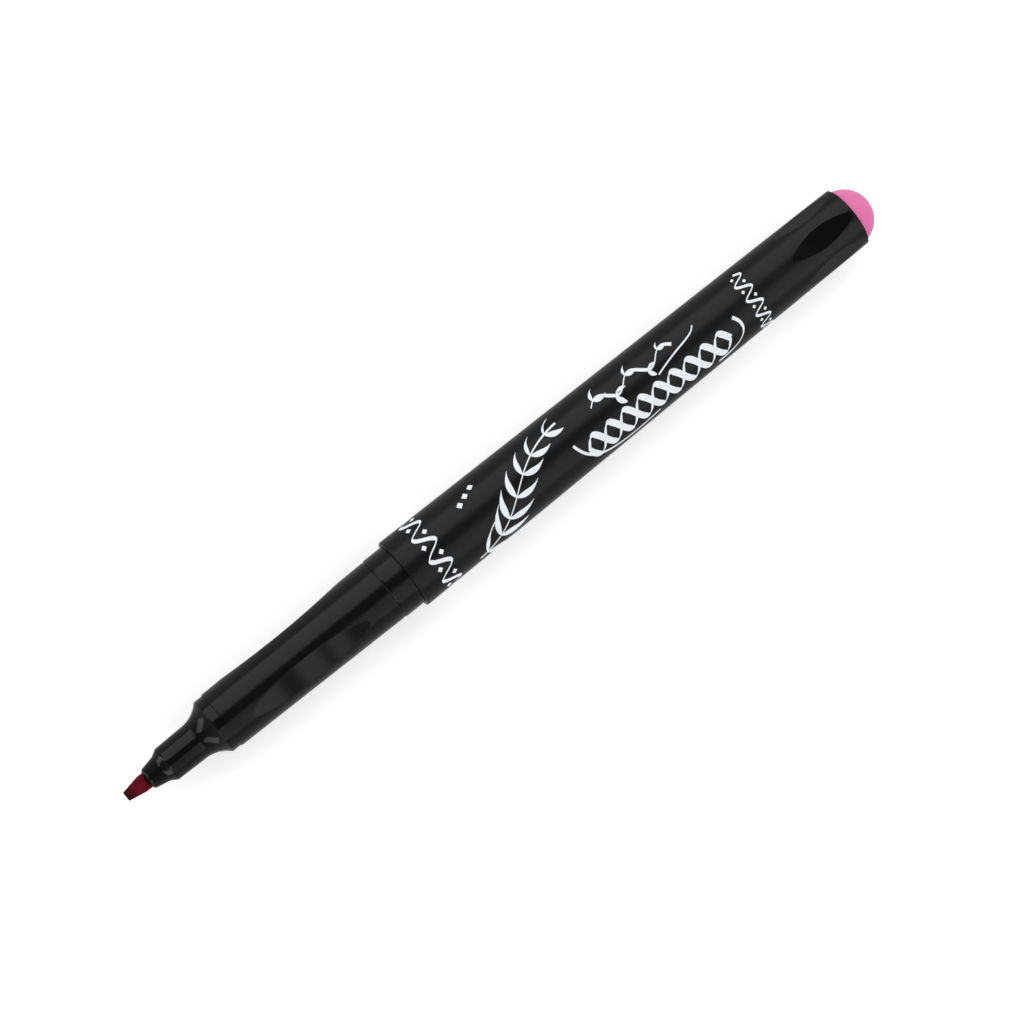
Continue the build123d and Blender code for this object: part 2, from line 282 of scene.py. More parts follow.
def barrel_radius(stations):
    """Plain cone of the barrel: it narrows evenly from the mouth to the rim."""
    return mouth_radius + (stations - mouth) / (rim - mouth) * (tail_radius - mouth_radius)


def scallop_cut(stations):
    """Depth of a scallop: D (k (1 - u^2) + (1 - k)(1 - u^2)|1 - u^2|), u from -1 to 1 over its length."""
    swell = 1 - ((stations - scallop_middle) / scallop_half_length) ** 2
    depth = scallop_run_out * swell + (1 - scallop_run_out) * swell * np.abs(swell)
    return np.maximum(scallop_depth * depth, no_cut)


def box_rows(front, rear, half_across, low, high, turn):
    """Closed bar along the marker: four columns round its section, and single points at both ends."""
    across = np.array([-half_across, half_across, half_across, -half_across])
    up = np.array([high, high, low, low])
    at = np.array([front, front, rear, rear])[:, None] + np.zeros(4)
    y = np.where(np.array([1, 0, 0, 1])[:, None], 0, across)
    z = np.where(np.array([1, 0, 0, 1])[:, None], (low + high) / 2, up)
    return around_axis(at, np.hypot(y, z), np.arctan2(y, z) + turn)


cone_stations = np.concatenate(
    [
        np.linspace(mouth + 1, scallop_middle - 1.35 * scallop_half_length, 16),
        scallop_middle + scallop_half_length * np.linspace(-1.25, 1.02, 70),
    ]
)
stations, radii = outline(
    [(mouth, spigot_bore, 0.04), (mouth, mouth_radius, 0.30)]
    + [(s, barrel_radius(s), 0) for s in cone_stations]
    + [
        (rim - rim_chamfer, tail_radius, 0.09),
        (rim, tail_radius - rim_chamfer, 0.07),
        (rim, plug_bore, 0.04),
        (plug_bore_front, plug_bore, 0.04),
        (plug_bore_front, plug_bore - 0.15, 0.03),
        (spigot_bore_rear, spigot_bore - 0.25, 0.03),
        (spigot_bore_rear, spigot_bore, 0.03),
    ]
)
outside = (radii > tail_radius - rim_chamfer - 0.01) & (stations > mouth + 0.5)
cut = np.where(outside, scallop_cut(stations), no_cut)
barrel_points, flat_share = cut_flats(stations, radii, cut, scallops, 20)
barrel_plastic = black_polypropylene("injection_moulded_polypropylene_satin_black", 0.30, 0.08)
make_piece(
    "barrel_shell",
    [barrel_points],
    barrel_plastic,
    "barrel",
    replaced="barrel",
    ring=True,
    polish=flat_share,
)
reservoir_rear = station(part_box("reservoir_film")[1].x)
rib_front, rib_half = spigot_bore_rear + 2, centring_rib_width / 2
make_piece(
    "barrel_centring_ribs",
    [
        box_rows(rib_front, reservoir_rear, rib_half, centring_rib_crest, centring_rib_foot, turn)
        for turn in np.pi / 4 + np.arange(centring_ribs) * np.pi / 2
    ],
    barrel_plastic,
    "barrel",
)

# ======================================================================================================
# Printed ornament
# White pad-printing ink, stamped on the barrel after moulding and cured: a film about a hundredth of a
# millimetre thick. The strokes are those of a broad-edged pen, thick across its edge and thin along it.
# ======================================================================================================
ink_height = 0.012
ink_root = 0.03
pen_angle = math.radians(38)
hairline = 0.17


def white_pad_ink():
    """Pad-printing ink: bright, very slightly cool white, satin, a little thin where the pad lifted."""
    mottle = 0.5 * MM
    material, tree, shader = new_material("pad_printed_ink_satin_white")
    place = add_node(tree, "ShaderNodeTexCoord").outputs["Object"]
    cover = add_node(
        tree, "ShaderNodeTexNoise", inputs={"Vector": place, "Scale": 1 / mottle, "Detail": 3.0}
    )
    colour = add_node(
        tree,
        "ShaderNodeMix",
        {"data_type": "RGBA"},
        {"Factor": cover.outputs["Fac"], 6: linear("#dfe7ee"), 7: linear("#f7fbff")},
    )
    gloss = add_node(
        tree, "ShaderNodeMapRange", inputs={"Value": cover.outputs["Fac"], "To Min": 0.55, "To Max": 0.42}
    )
    bump = add_node(
        tree,
        "ShaderNodeBump",
        inputs={"Height": cover.outputs["Fac"], "Strength": 0.2, "Distance": 0.003 * MM},
    )
    tree.links.new(colour.outputs[2], shader.inputs["Base Color"])
    tree.links.new(gloss.outputs["Result"], shader.inputs["Roughness"])
    tree.links.new(bump.outputs["Normal"], shader.inputs["Normal"])
    shader.inputs["IOR"].default_value = 1.50
    return material


def stroke(path, width, pressure=1.0, closed=False):
    """Film of ink along a path of (station, distance round the barrel) points, as a closed solid.

    A broad edge of width W held at angle p leaves a mark sqrt((W sin(h - p))^2 + L^2) wide, h being the
    path's heading and L the hairline, times the pressure along the path. The mark is laid on the barrel's
    cone: distance v round it from the top line becomes the angle v / r.
    """
    columns = 7
    ahead = np.gradient(path, axis=0, edge_order=2)
    heading = np.arctan2(ahead[:, 1], ahead[:, 0])
    wide = np.hypot(width * np.sin(heading - pen_angle), hairline) * pressure
    across = np.linspace(-0.5, 0.5, columns)
    across = np.concatenate([across, across[::-1]])
    lift = np.where(np.arange(2 * columns) < columns, ink_height, -ink_root)
    at = path[:, :1] - np.sin(heading)[:, None] * wide[:, None] * across
    v = path[:, 1:] + np.cos(heading)[:, None] * wide[:, None] * across
    if closed:
        at, v = at[:-1], v[:-1]
    else:
        ends = np.ones(2 * columns)
        at = np.concatenate([[path[0, 0] * ends], at, [path[-1, 0] * ends]])
        v = np.concatenate([[path[0, 1] * ends], v, [path[-1, 1] * ends]])
    radius = barrel_radius(at)
    return around_axis(at, radius + lift, v / radius)


def wave(front, rear, middle, height, turns, phase=0.0):
    """Sine wave along the barrel."""
    t = np.linspace(0, 1, int(40 * turns) + 1)
    across = middle + height * np.sin(2 * np.pi * turns * t + phase)
    return np.stack([front + t * (rear - front), across], axis=1)


def ring_wave(middle, height, turns, first=0.0, last=2 * np.pi):
    """Sine wave round the barrel, from the angle first to the angle last."""
    t = np.linspace(0, 1, 40 * turns + 1)
    at = middle + height * np.sin(2 * np.pi * turns * t)
    return np.stack([at, (first + (last - first) * t) * barrel_radius(middle)], axis=1)


def bend(*points):
    """Bezier curve on its control points: the sum of C(n,i) (1-t)^(n-i) t^i P_i."""
    t = np.linspace(0, 1, 48)[:, None]
    n = len(points) - 1
    terms = [math.comb(n, i) * (1 - t) ** (n - i) * t**i * np.array(p, float) for i, p in enumerate(points)]
    return sum(terms)


def leaf(path, width):
    """Closed leaf along a path: pressure sin(pi t) to the power 0.8, so that both ends are points."""
    t = np.linspace(0.004, 0.996, len(path))
    return stroke(path, width, np.sin(np.pi * t) ** 0.8 + 0.02)


def lozenge(x, v, width, reach):
    """Single square touch of the pen's edge, drawn across the edge over the reach."""
    away = pen_angle + math.pi / 2
    t = np.linspace(-0.5, 0.5, 5)[:, None] * reach
    return stroke(np.array([x, v]) + t * np.array([math.cos(away), math.sin(away)]), width)


white_ink = white_pad_ink()


def print_on(name, grids, ring=False):
    """One printed piece, which belongs to the barrel."""
    make_piece(name, grids, white_ink, "barrel", ring=ring, sharp=60.0)


# Front band: a running wave with a lozenge in each hollow, all round the barrel.
def hollow_lozenges(middle, height, turns, size, first=0.0, last=2 * np.pi):
    """One lozenge in each hollow of a ring wave, a little way in from its open side."""
    pitch = (last - first) / turns * barrel_radius(middle)
    start = first * barrel_radius(middle)
    return [
        lozenge(middle + side * height * 0.62, start + (k + 0.5 + side * 0.25) * pitch, size, size)
        for k in range(turns)
        for side in (-1, 1)
    ]


band_middle, band_height, band_turns, band_pen = mouth + 4.85, 1.30, 9, 0.62
band_wave = stroke(ring_wave(band_middle, band_height, band_turns), band_pen, closed=True)
print_on("print_front_band_wave", [band_wave], ring=True)
print_on("print_front_band_lozenges", hollow_lozenges(band_middle, band_height, band_turns, band_pen))


# Large branch: broad leaves in pairs along a stem that climbs round the barrel, and three dots by its foot.
def spray(stem, feet, length, width):
    """Leaves along a stem, each given as (share of the stem, side), smaller towards the stem's end.

    A leaf sets out at 62 degrees from the stem, and its tip lies at 34 degrees from it.
    """
    grids = []
    for share, side in feet:
        i = int(share * (len(stem) - 1))
        foot = stem[i]
        away = stem[min(i + 1, len(stem) - 1)] - stem[i - 1]
        heading = math.atan2(away[1], away[0])
        smaller = 1.2 - 0.6 * share
        size = length * smaller
        knee, tip = heading + side * math.radians(62), heading + side * math.radians(34)
        path = bend(
            foot,
            foot + 0.55 * size * np.array([math.cos(knee), math.sin(knee)]),
            foot + size * np.array([math.cos(tip), math.sin(tip)]),
        )
        grids.append(leaf(path, width * smaller))
    return grids


branch = bend((59.6, -6.6), (67.0, -5.6), (70.0, 2.6), (79.6, 3.4))
pairs = [(share, side) for share in np.linspace(0.08, 0.92, 7) for side in (-1, 1)]
print_on("print_branch_stem", [stroke(branch, 0.62)])
print_on("print_branch_leaves", spray(branch, pairs, 4.6, 1.55))
branch_dots = [lozenge(61.6 + 1.4 * k, 2.6 + 0.7 * k, 0.75, 0.75) for k in range(3)]
print_on("print_branch_dots", branch_dots)

# Upper row: a light vine with a pair of leaves at each of its bows.
vine = wave(84.8, 99.6, 1.6, 0.9, 2.5)
print_on("print_vine_stem", [stroke(vine, 0.5)])
feet = [(0.06 + 0.2 * k, side) for k in range(5) for side in (-1, 1)]
print_on("print_vine_leaves", spray(vine, feet, 1.9, 0.8))

# Lower row: two broad waves plaited together, with long hairline tails.
plait = {"front": 81.0, "rear": 107.0, "middle": -3.2, "height": 1.7, "turns": 4.5}
print_on(
    "print_plait",
    [
        stroke(wave(**plait), 1.0),
        stroke(wave(**plait, phase=np.pi), 1.0),
        stroke(bend((79.4, -1.0), (80.5, -5.8), (86.0, -7.0), (93.0, -5.7)), 0.4),
        stroke(bend((95.4, -0.7), (100.5, 1.0), (102.6, 0.5), (103.6, 1.9)), 0.4),
        stroke(bend((104.0, -5.7), (108.6, -5.9), (110.6, -3.2), (108.8, -0.9)), 0.5),
    ],
)

# Rear band: a small wave with a dot in each hollow, round most of the barrel.
rear_middle, rear_height, rear_turns = mouth + 63.2, 1.0, 8
rear_first, rear_last = math.radians(48), math.radians(-192)
rear_wave = ring_wave(rear_middle, rear_height, rear_turns, rear_first, rear_last)
print_on("print_rear_band_wave", [stroke(rear_wave, 0.42)])
rear_dots = hollow_lozenges(rear_middle, rear_height, rear_turns, 0.40, rear_first, rear_last)
print_on("print_rear_band_dots", rear_dots)

# ======================================================================================================
# Grip section
# A black moulding in the same polypropylene. Three long finger facets are cut a third of a turn apart, a
# fine groove and a collar behind them hold the cap's mouth, and the spigot, with two low beads, is pushed
# into the barrel.
# ======================================================================================================
grip_front = station(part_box("grip_section")[0].x)
spigot_end = station(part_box("grip_section")[1].x)
nose_rear = station(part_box("nose_cone")[1].x)
collar_front = mouth - 3.30
collar_radius = (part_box("grip_section")[1].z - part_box("grip_section")[0].z) / 2 / MM
grip_rear_radius = 4.89
grip_front_radius = 4.55
nose_bore = 3.90
reservoir_bore = 3.43
spigot_radius = 4.18
bead_height = 0.05
facets = 3
facet_turn = math.radians(90)
facet_middle = grip_front + 14.15
facet_half_length = 10.55
facet_depth = 0.40
groove = collar_front - 0.30


def grip_radius(stations):
    """Plain cone of the grip: it widens evenly from its front to the collar."""
    share = (stations - grip_front) / (collar_front - grip_front)
    return grip_front_radius + share * (grip_rear_radius - grip_front_radius)


def facet_cut(stations):
    """Depth of a finger facet: D (1 - u^2), u from -1 to 1 over its length."""
    return np.maximum(facet_depth * (1 - ((stations - facet_middle) / facet_half_length) ** 2), no_cut)


def bead(middle):
    """Corners of a low ring on the spigot."""
    crest = spigot_radius + bead_height
    return [
        (middle - 0.45, spigot_radius, 0.05),
        (middle - 0.22, crest, 0.05),
        (middle + 0.22, crest, 0.05),
        (middle + 0.45, spigot_radius, 0.05),
    ]


sweep = np.linspace(-np.pi / 2, np.pi / 2, 61)
facet_shares = np.concatenate([[-1.2], 1.03 * np.sin(sweep), [1.2, 1.36]])
facet_stations = facet_middle + facet_half_length * facet_shares
stations, radii = outline(
    [(grip_front, nose_bore, 0.04), (grip_front, grip_front_radius, 0.12)]
    + [(s, grip_radius(s), 0) for s in facet_stations]
    + [
        (groove, grip_radius(groove), 0.03),
        (groove + 0.15, grip_radius(groove) - 0.10, 0.03),
        (collar_front, grip_rear_radius - 0.02, 0.02),
        (collar_front, collar_radius, 0.10),
        (mouth, collar_radius, 0.04),
        (mouth, spigot_radius, 0.04),
    ]
    + bead(spigot_end - 9.0)
    + bead(spigot_end - 3.0)
    + [
        (spigot_end - 0.4, spigot_radius, 0.05),
        (spigot_end, spigot_radius - 0.4, 0.05),
        (spigot_end, reservoir_bore, 0.03),
        (nose_rear + 0.2, reservoir_bore, 0.03),
        (nose_rear + 0.2, nose_bore, 0.03),
    ]
)
outside = (radii > grip_front_radius - 0.01) & (stations > grip_front + 0.5)
cut = np.where(outside, facet_cut(stations), no_cut)
grip_points, flat_share = cut_flats(stations, radii, cut, facets, 44, facet_turn)
grip_plastic = black_polypropylene("injection_moulded_polypropylene_polished_black", 0.20, 0.07)
make_piece(
    "grip_section_shell",
    [grip_points],
    grip_plastic,
    "section",
    replaced="grip_section",
    ring=True,
    polish=flat_share,
)

# ======================================================================================================
# Nose
# A separate black moulding, pressed into the front of the grip section, so that one grip can carry nibs of
# several widths. Its neck flares up to a plain ring that the cap's inner sleeve seals on. It is the part with
# the highest gloss.
# ======================================================================================================
nib_low, nib_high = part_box("chisel_nib")
nib_half_width = (nib_high.y - nib_low.y) / 2 / MM
nib_half_thickness = (nib_high.z - nib_low.z) / 2 / MM
nib_corner = 0.40
nib_fit = 0.03
lip = 4.04
lip_height = 0.75
lip_radius = nib_half_width + 0.42
neck_front = lip + 2.20
shoulder = neck_front + 5.76
ring_front = shoulder + 3.54
cone_radius = lip_radius + 0.45
neck_radius = cone_radius + 0.61
neck_rise = 0.08
neck_chamfer = 1.00
ring_radius = (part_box("nose_cone")[1].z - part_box("nose_cone")[0].z) / 2 / MM
nose_hollow = nose_bore - 0.85
nib_guide_rear = lip + 9.0


def bar_radius(angles, half_width, half_thickness, corner):
    """Distance from the axis to a bar with rounded edges, at each angle from +Z.

    Along the flats it is w / sin(a) or t / cos(a), and round a corner centred on c with radius q it is
    d.c + sqrt((d.c)^2 - c.c + q^2), d being the direction (sin a, cos a).
    """
    sine, cosine = np.abs(np.sin(angles)) + 1e-9, np.abs(np.cos(angles)) + 1e-9
    centre_y, centre_z = half_width - corner, half_thickness - corner
    toward = sine * centre_y + cosine * centre_z
    under = np.maximum(toward**2 - centre_y**2 - centre_z**2 + corner**2, 0)
    side, face = half_width / sine, half_thickness / cosine
    on_side, on_face = side * cosine <= centre_z, face * sine <= centre_y
    return np.where(on_side, side, np.where(on_face, face, toward + np.sqrt(under)))


def flare(front, rear, rows):
    """Concave arc that leaves the point front along the axis and ends at rear, both (station, radius)."""
    run, rise = rear[0] - front[0], rear[1] - front[1]
    bend_radius = (run**2 + rise**2) / (2 * rise)
    turn = np.linspace(0, math.asin(run / bend_radius), rows)[1:]
    at, radius = front[0] + bend_radius * np.sin(turn), front[1] + bend_radius * (1 - np.cos(turn))
    return np.stack([at, radius], axis=1)


neck_rear = (shoulder, neck_radius + neck_rise)
stations, radii = outline(
    [
        (lip, lip_radius, 0.15),
        (neck_front, cone_radius, 0.15),
        (neck_front + neck_chamfer, neck_radius, 0.20),
        (*neck_rear, 0),
    ]
    + [(*point, 0) for point in flare(neck_rear, (ring_front, ring_radius), 32)[:-1]]
    + [
        (ring_front, ring_radius, 0.12),
        (grip_front, ring_radius, 0.06),
        (grip_front, nose_bore, 0.03),
        (nose_rear - 0.4, nose_bore, 0.05),
        (nose_rear, nose_bore - 0.4, 0.05),
        (nose_rear, nose_hollow, 0.03),
        (nib_guide_rear + nose_hollow - nib_half_thickness, nose_hollow, 0.1),
        (nib_guide_rear, nib_half_width + 0.2, 0.05),
    ]
)
nose_columns, dome_gap = 240, 0.02
around = np.arange(nose_columns)[None, :] * 2 * np.pi / nose_columns
slot = bar_radius(around, nib_half_width + nib_fit, nib_half_thickness + nib_fit, nib_corner + nib_fit)
guide_at = np.array([nib_guide_rear, lip + 2.0, lip + 0.2])[:, None]
dome_share = np.linspace(0, 0.98, 14)[:, None]
dome_radius = slot + dome_gap + dome_share * (lip_radius - slot - dome_gap)
dome_at = lip - lip_height * (1 - (dome_radius / lip_radius) ** 2)
blocks = [
    (guide_at + 0 * around, slot * np.ones((3, 1))),
    (dome_at, dome_radius),
    (stations[:, None] + 0 * around, radii[:, None] + 0 * around),
]
nose_plastic = black_polypropylene("injection_moulded_polypropylene_gloss_black", 0.12, 0.12)
make_piece(
    "nose_shell",
    [np.concatenate([around_axis(at, radius, around + 0 * at) for at, radius in blocks])],
    nose_plastic,
    "section",
    replaced="nose_cone",
    ring=True,
)

# ======================================================================================================
# Nib
# A flat bar of bonded polyester fibre, ground to a chisel and soaked in crimson ink. It is darker towards the
# writing edge, partly from ink that gathers and dries there and partly as painted shade of the ground bevel.
# It is pushed through the nose's slot into the reservoir.
# ======================================================================================================
nib_length = station(nib_high.x)
half_edge_width = 0.725
half_edge_thickness = 0.20
side_taper = 2.80
bevel_length = 1.45
tail_taper = 1.60
half_tail_thickness = 0.35


def inked_fibre(name, light, dark, ink_and_shade_edge_colour=None):
    """Bonded polyester fibre full of ink: fine strands along the marker, matt, with a slight wet shine."""
    strand_width, strand_length, clump = 0.07 * MM, 1.6 * MM, 0.7 * MM
    material, tree, shader = new_material(name)
    place = add_node(tree, "ShaderNodeTexCoord").outputs["Object"]
    stretch = (1 / strand_length, 1 / strand_width, 1 / strand_width)
    along = add_node(tree, "ShaderNodeMapping", inputs={"Vector": place, "Scale": stretch})
    strands = add_node(
        tree,
        "ShaderNodeTexNoise",
        inputs={"Vector": along.outputs["Vector"], "Scale": 1.0, "Detail": 3.0},
    )
    clumps = add_node(tree, "ShaderNodeTexNoise", inputs={"Vector": place, "Scale": 1 / clump, "Detail": 2.0})
    total = add_node(
        tree,
        "ShaderNodeMath",
        {"operation": "MULTIPLY_ADD"},
        {0: clumps.outputs["Fac"], 1: 0.6, 2: strands.outputs["Fac"]},
    )
    share = add_node(
        tree, "ShaderNodeMapRange", inputs={"Value": total.outputs[0], "From Min": 0.55, "From Max": 1.05}
    )
    colour = add_node(
        tree,
        "ShaderNodeMix",
        {"data_type": "RGBA"},
        {"Factor": share.outputs["Result"], 6: linear(dark), 7: linear(light)},
    ).outputs[2]
    # Darker towards the writing edge: partly dried ink gathered there, partly painted shade of the chisel's
    # bevel, which faces away from the light.
    if ink_and_shade_edge_colour:
        split = add_node(tree, "ShaderNodeSeparateXYZ", inputs={"Vector": place})
        uneven = add_node(
            tree,
            "ShaderNodeMath",
            {"operation": "MULTIPLY_ADD"},
            {0: clumps.outputs["Fac"], 1: 1.2 * MM, 2: split.outputs["X"]},
        )
        dried_ink_and_shade = add_node(
            tree,
            "ShaderNodeMapRange",
            {"interpolation_type": "SMOOTHSTEP"},
            {
                "Value": uneven.outputs[0],
                "From Min": writing_edge + 0.7 * MM,
                "From Max": writing_edge + 2.4 * MM,
                "To Min": 0.95,
                "To Max": 0.0,
            },
        )
        colour = add_node(
            tree,
            "ShaderNodeMix",
            {"data_type": "RGBA"},
            {"Factor": dried_ink_and_shade.outputs["Result"], 6: colour, 7: linear(ink_and_shade_edge_colour)},
        ).outputs[2]
    bump = add_node(
        tree,
        "ShaderNodeBump",
        inputs={"Height": strands.outputs["Fac"], "Strength": 0.5, "Distance": 0.03 * MM},
    )
    tree.links.new(colour, shader.inputs["Base Color"])
    tree.links.new(bump.outputs["Normal"], shader.inputs["Normal"])
    shader.inputs["Roughness"].default_value = 0.65
    shader.inputs["IOR"].default_value = 1.40
    shader.inputs["Specular IOR Level"].default_value = 0.15
    return material


def bar_loop(half_width, half_thickness, corner):
    """Loop round a bar with rounded edges, for each row: each corner's centre plus q (sin a, cos a)."""
    steps = 7
    quarter = np.linspace(0, np.pi / 2, steps)
    a = (np.arange(4)[:, None] * np.pi / 2 + quarter).ravel()
    sign_y, sign_z = np.repeat([1, 1, -1, -1], steps), np.repeat([1, -1, -1, 1], steps)
    q = corner[:, None]
    y = sign_y * (half_width[:, None] - q) + q * np.sin(a)
    z = sign_z * (half_thickness[:, None] - q) + q * np.cos(a)
    return y, z


def bar_grid(at, y, z):
    """Points (x, y, z) from each row's station and its loop, in metres in the frame."""
    x = np.broadcast_to(writing_edge + at[:, None] * MM, y.shape)
    return np.stack([x, y * MM, axis_height + z * MM], axis=2)


beside = np.array([-1, 0, 1])
at = np.concatenate(
    [
        [0, 0, 0.02, 0.06, 0.5, 1.0],
        bevel_length + 0.07 * beside,
        [2.2],
        side_taper + 0.08 * beside,
        [4.0, nib_length - tail_taper, nib_length, nib_length],
    ]
)
half_width = np.interp(at, [0, side_taper], [half_edge_width, nib_half_width])
half_thickness = np.interp(
    at,
    [0, bevel_length, nib_length - tail_taper, nib_length],
    [half_edge_thickness, nib_half_thickness, nib_half_thickness, half_tail_thickness],
)
half_thickness[1:3] -= (0.05, 0.015)
half_width[1:3] -= (0.05, 0.015)
y, z = bar_loop(half_width, half_thickness, np.minimum(nib_corner, 0.92 * half_thickness))
y[[0, -1]], z[[0, -1]] = 0, 0
make_piece(
    "nib_fibre",
    [bar_grid(at, y, z)],
    # The last colour darkens the writing edge: dried ink, and painted shade of the bevel.
    inked_fibre("bonded_polyester_fibre_crimson_ink", "#6a071c", "#520614", "#290406"),
    "nib",
    replaced="chisel_nib",
)

# ======================================================================================================
# Reservoir
# A rod of bonded polyester fibre that holds the ink, in a sleeve of clear film. It lies loose in the barrel
# and the grip section, between the nose and the end plug, and the nib's tail runs into its front end.
# ======================================================================================================
film_low, film_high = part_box("reservoir_film")
reservoir_front, film_radius = station(film_low.x), (film_high.z - film_low.z) / 2 / MM
film_wall = 0.12
core_radius = film_radius - film_wall - 0.03
even = np.arange(96) * 2 * np.pi / 96
pocket = bar_radius(even, nib_half_width + nib_fit, nib_half_thickness + nib_fit, nib_corner + nib_fit)
pocket_end = nib_length + 0.2
core_rows = [
    (pocket_end, 0),
    (pocket_end, pocket),
    (reservoir_front + 0.05, pocket),
    (reservoir_front, pocket + 0.05),
    (reservoir_front, core_radius - 0.10),
    (reservoir_front + 0.03, core_radius - 0.03),
    (reservoir_front + 0.10, core_radius),
    (reservoir_rear - 0.10, core_radius),
    (reservoir_rear - 0.03, core_radius - 0.03),
    (reservoir_rear, core_radius - 0.10),
    (reservoir_rear, 0),
]
core_rings = [around_axis(np.array([[at]]), radius + 0 * even[None], even[None]) for at, radius in core_rows]
make_piece(
    "reservoir_fibre_rod",
    [np.concatenate(core_rings)],
    inked_fibre("bonded_polyester_rod_crimson_ink", "#8a1030", "#6c0c24"),
    "barrel",
    replaced="reservoir_core",
)


def clear_film():
    """Extruded polypropylene film: clear, thin, very slightly wrinkled from wrapping."""
    wrinkle = 2.5 * MM
    material, tree, shader = new_material("extruded_polypropylene_film_clear")
    place = add_node(tree, "ShaderNodeTexCoord").outputs["Object"]
    folds = add_node(
        tree, "ShaderNodeTexNoise", inputs={"Vector": place, "Scale": 1 / wrinkle, "Detail": 2.0}
    )
    bump = add_node(
        tree,
        "ShaderNodeBump",
        inputs={"Height": folds.outputs["Fac"], "Strength": 0.4, "Distance": 0.05 * MM},
    )
    haze = add_node(
        tree, "ShaderNodeMapRange", inputs={"Value": folds.outputs["Fac"], "To Min": 0.05, "To Max": 0.14}
    )
    tree.links.new(bump.outputs["Normal"], shader.inputs["Normal"])
    tree.links.new(haze.outputs["Result"], shader.inputs["Roughness"])
    shader.inputs["Base Color"].default_value = linear("#f2f4f6")
    shader.inputs["IOR"].default_value = 1.49
    shader.inputs["Transmission Weight"].default_value = 0.9
    return material


stations, radii = outline(
    [
        (reservoir_front, film_radius - film_wall, 0.02),
        (reservoir_front, film_radius, 0.02),
        (reservoir_rear, film_radius, 0.02),
        (reservoir_rear, film_radius - film_wall, 0.02),
    ]
)
make_piece(
    "reservoir_film_sleeve",
    [around_axis(stations[:, None], radii[:, None], np.tile(even, (len(stations), 1)))],
    clear_film(),
    "barrel",
    replaced="reservoir_film",
    ring=True,
)

# ======================================================================================================
# End plug
# A moulding in pink polypropylene, which shows the ink's colour. Its domed head covers the barrel's rear
# bore, its skirt is a push fit in it, and crossed fins inside reach forward to stop the reservoir.
# ======================================================================================================
plug_low, plug_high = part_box("end_plug")
dome_radius = (plug_high.z - plug_low.z) / 2 / MM
apex = station(plug_high.x)
dome_height = apex - rim
skirt_front = rim - 6.0
skirt_radius = plug_bore - 0.02
skirt_bore = skirt_radius - 0.85
sphere = (dome_height**2 + dome_radius**2) / (2 * dome_height)
fin_front = station(plug_low.x)
fin_radius = 2.6
fin_half_width = 0.45


def pink_polypropylene():
    """Injection-moulded polypropylene with a pink masterbatch: satin, opaque, faintly uneven in colour."""
    swirl, grain = 2.4 * MM, 0.25 * MM
    material, tree, shader = new_material("injection_moulded_polypropylene_satin_pink")
    place = add_node(tree, "ShaderNodeTexCoord").outputs["Object"]
    flow = add_node(
        tree,
        "ShaderNodeTexNoise",
        inputs={"Vector": place, "Scale": 1 / swirl, "Detail": 3.0, "Distortion": 0.6},
    )
    fine = add_node(tree, "ShaderNodeTexNoise", inputs={"Vector": place, "Scale": 1 / grain, "Detail": 2.0})
    colour = add_node(
        tree,
        "ShaderNodeMix",
        {"data_type": "RGBA"},
        {"Factor": flow.outputs["Fac"], 6: linear("#dc67a8"), 7: linear("#e478aa")},
    )
    gloss = add_node(
        tree, "ShaderNodeMapRange", inputs={"Value": fine.outputs["Fac"], "To Min": 0.42, "To Max": 0.52}
    )
    bump = add_node(
        tree,
        "ShaderNodeBump",
        inputs={"Height": fine.outputs["Fac"], "Strength": 0.3, "Distance": 0.004 * MM},
    )
    tree.links.new(colour.outputs[2], shader.inputs["Base Color"])
    tree.links.new(gloss.outputs["Result"], shader.inputs["Roughness"])
    tree.links.new(bump.outputs["Normal"], shader.inputs["Normal"])
    shader.inputs["IOR"].default_value = 1.49
    shader.inputs["Specular IOR Level"].default_value = 0.3
    return material


lean = np.linspace(math.asin(dome_radius / sphere), 0, 40)
dome = np.stack([apex - sphere + sphere * np.cos(lean), sphere * np.sin(lean)], axis=1)[1:]
stations, radii = outline(
    [
        (rim + dome_height / 3, 0, 0),
        (rim + dome_height / 3 - 0.3, 0.8, 0),
        (rim, skirt_bore, 0.1),
        (skirt_front, skirt_bore, 0.05),
        (skirt_front, skirt_radius - 0.4, 0.05),
        (skirt_front + 0.4, skirt_radius, 0.05),
        (rim, skirt_radius, 0.02),
        (rim, dome_radius, 0.03),
    ]
    + [(*point, 0) for point in dome]
)
plug_angles = np.tile(np.arange(144) * np.pi / 72, (len(stations), 1))
plug_shell = around_axis(stations[:, None], radii[:, None], plug_angles)


def cross_loop(reach):
    """Loop round a cross of two plates, reach from the axis to their ends: twelve corners."""
    w = fin_half_width
    y = np.array([-w, w, w, 1, 1, w, w, -w, -w, -1, -1, -w])
    z = np.array([1, 1, w, w, -w, -w, -1, -1, -w, -w, w, w])
    scale = np.abs(np.stack([y, z])) == 1
    return np.where(scale, np.stack([y, z]) * np.asarray(reach)[:, None, None], np.stack([y, z]))


fin_chamfer, fin_root, fin_rear = 0.4, skirt_bore + 0.3, rim + 1.0
fin_at = [fin_front, fin_front, fin_front + fin_chamfer, skirt_front, skirt_front, rim, fin_rear, fin_rear]
fin_at = np.array(fin_at)
fin_reach = np.array([0, fin_radius - fin_chamfer, fin_radius, fin_radius, fin_root, fin_root, 2.0, 0])
cross = cross_loop(np.maximum(fin_reach, 0.6))
cross[[0, -1]] = 0
pink_plastic = pink_polypropylene()
make_piece("end_plug_shell", [plug_shell], pink_plastic, "plug", replaced="end_plug")
plug_fins = bar_grid(fin_at, cross[:, 0], cross[:, 1])
make_piece("end_plug_fins", [plug_fins], pink_plastic, "plug")

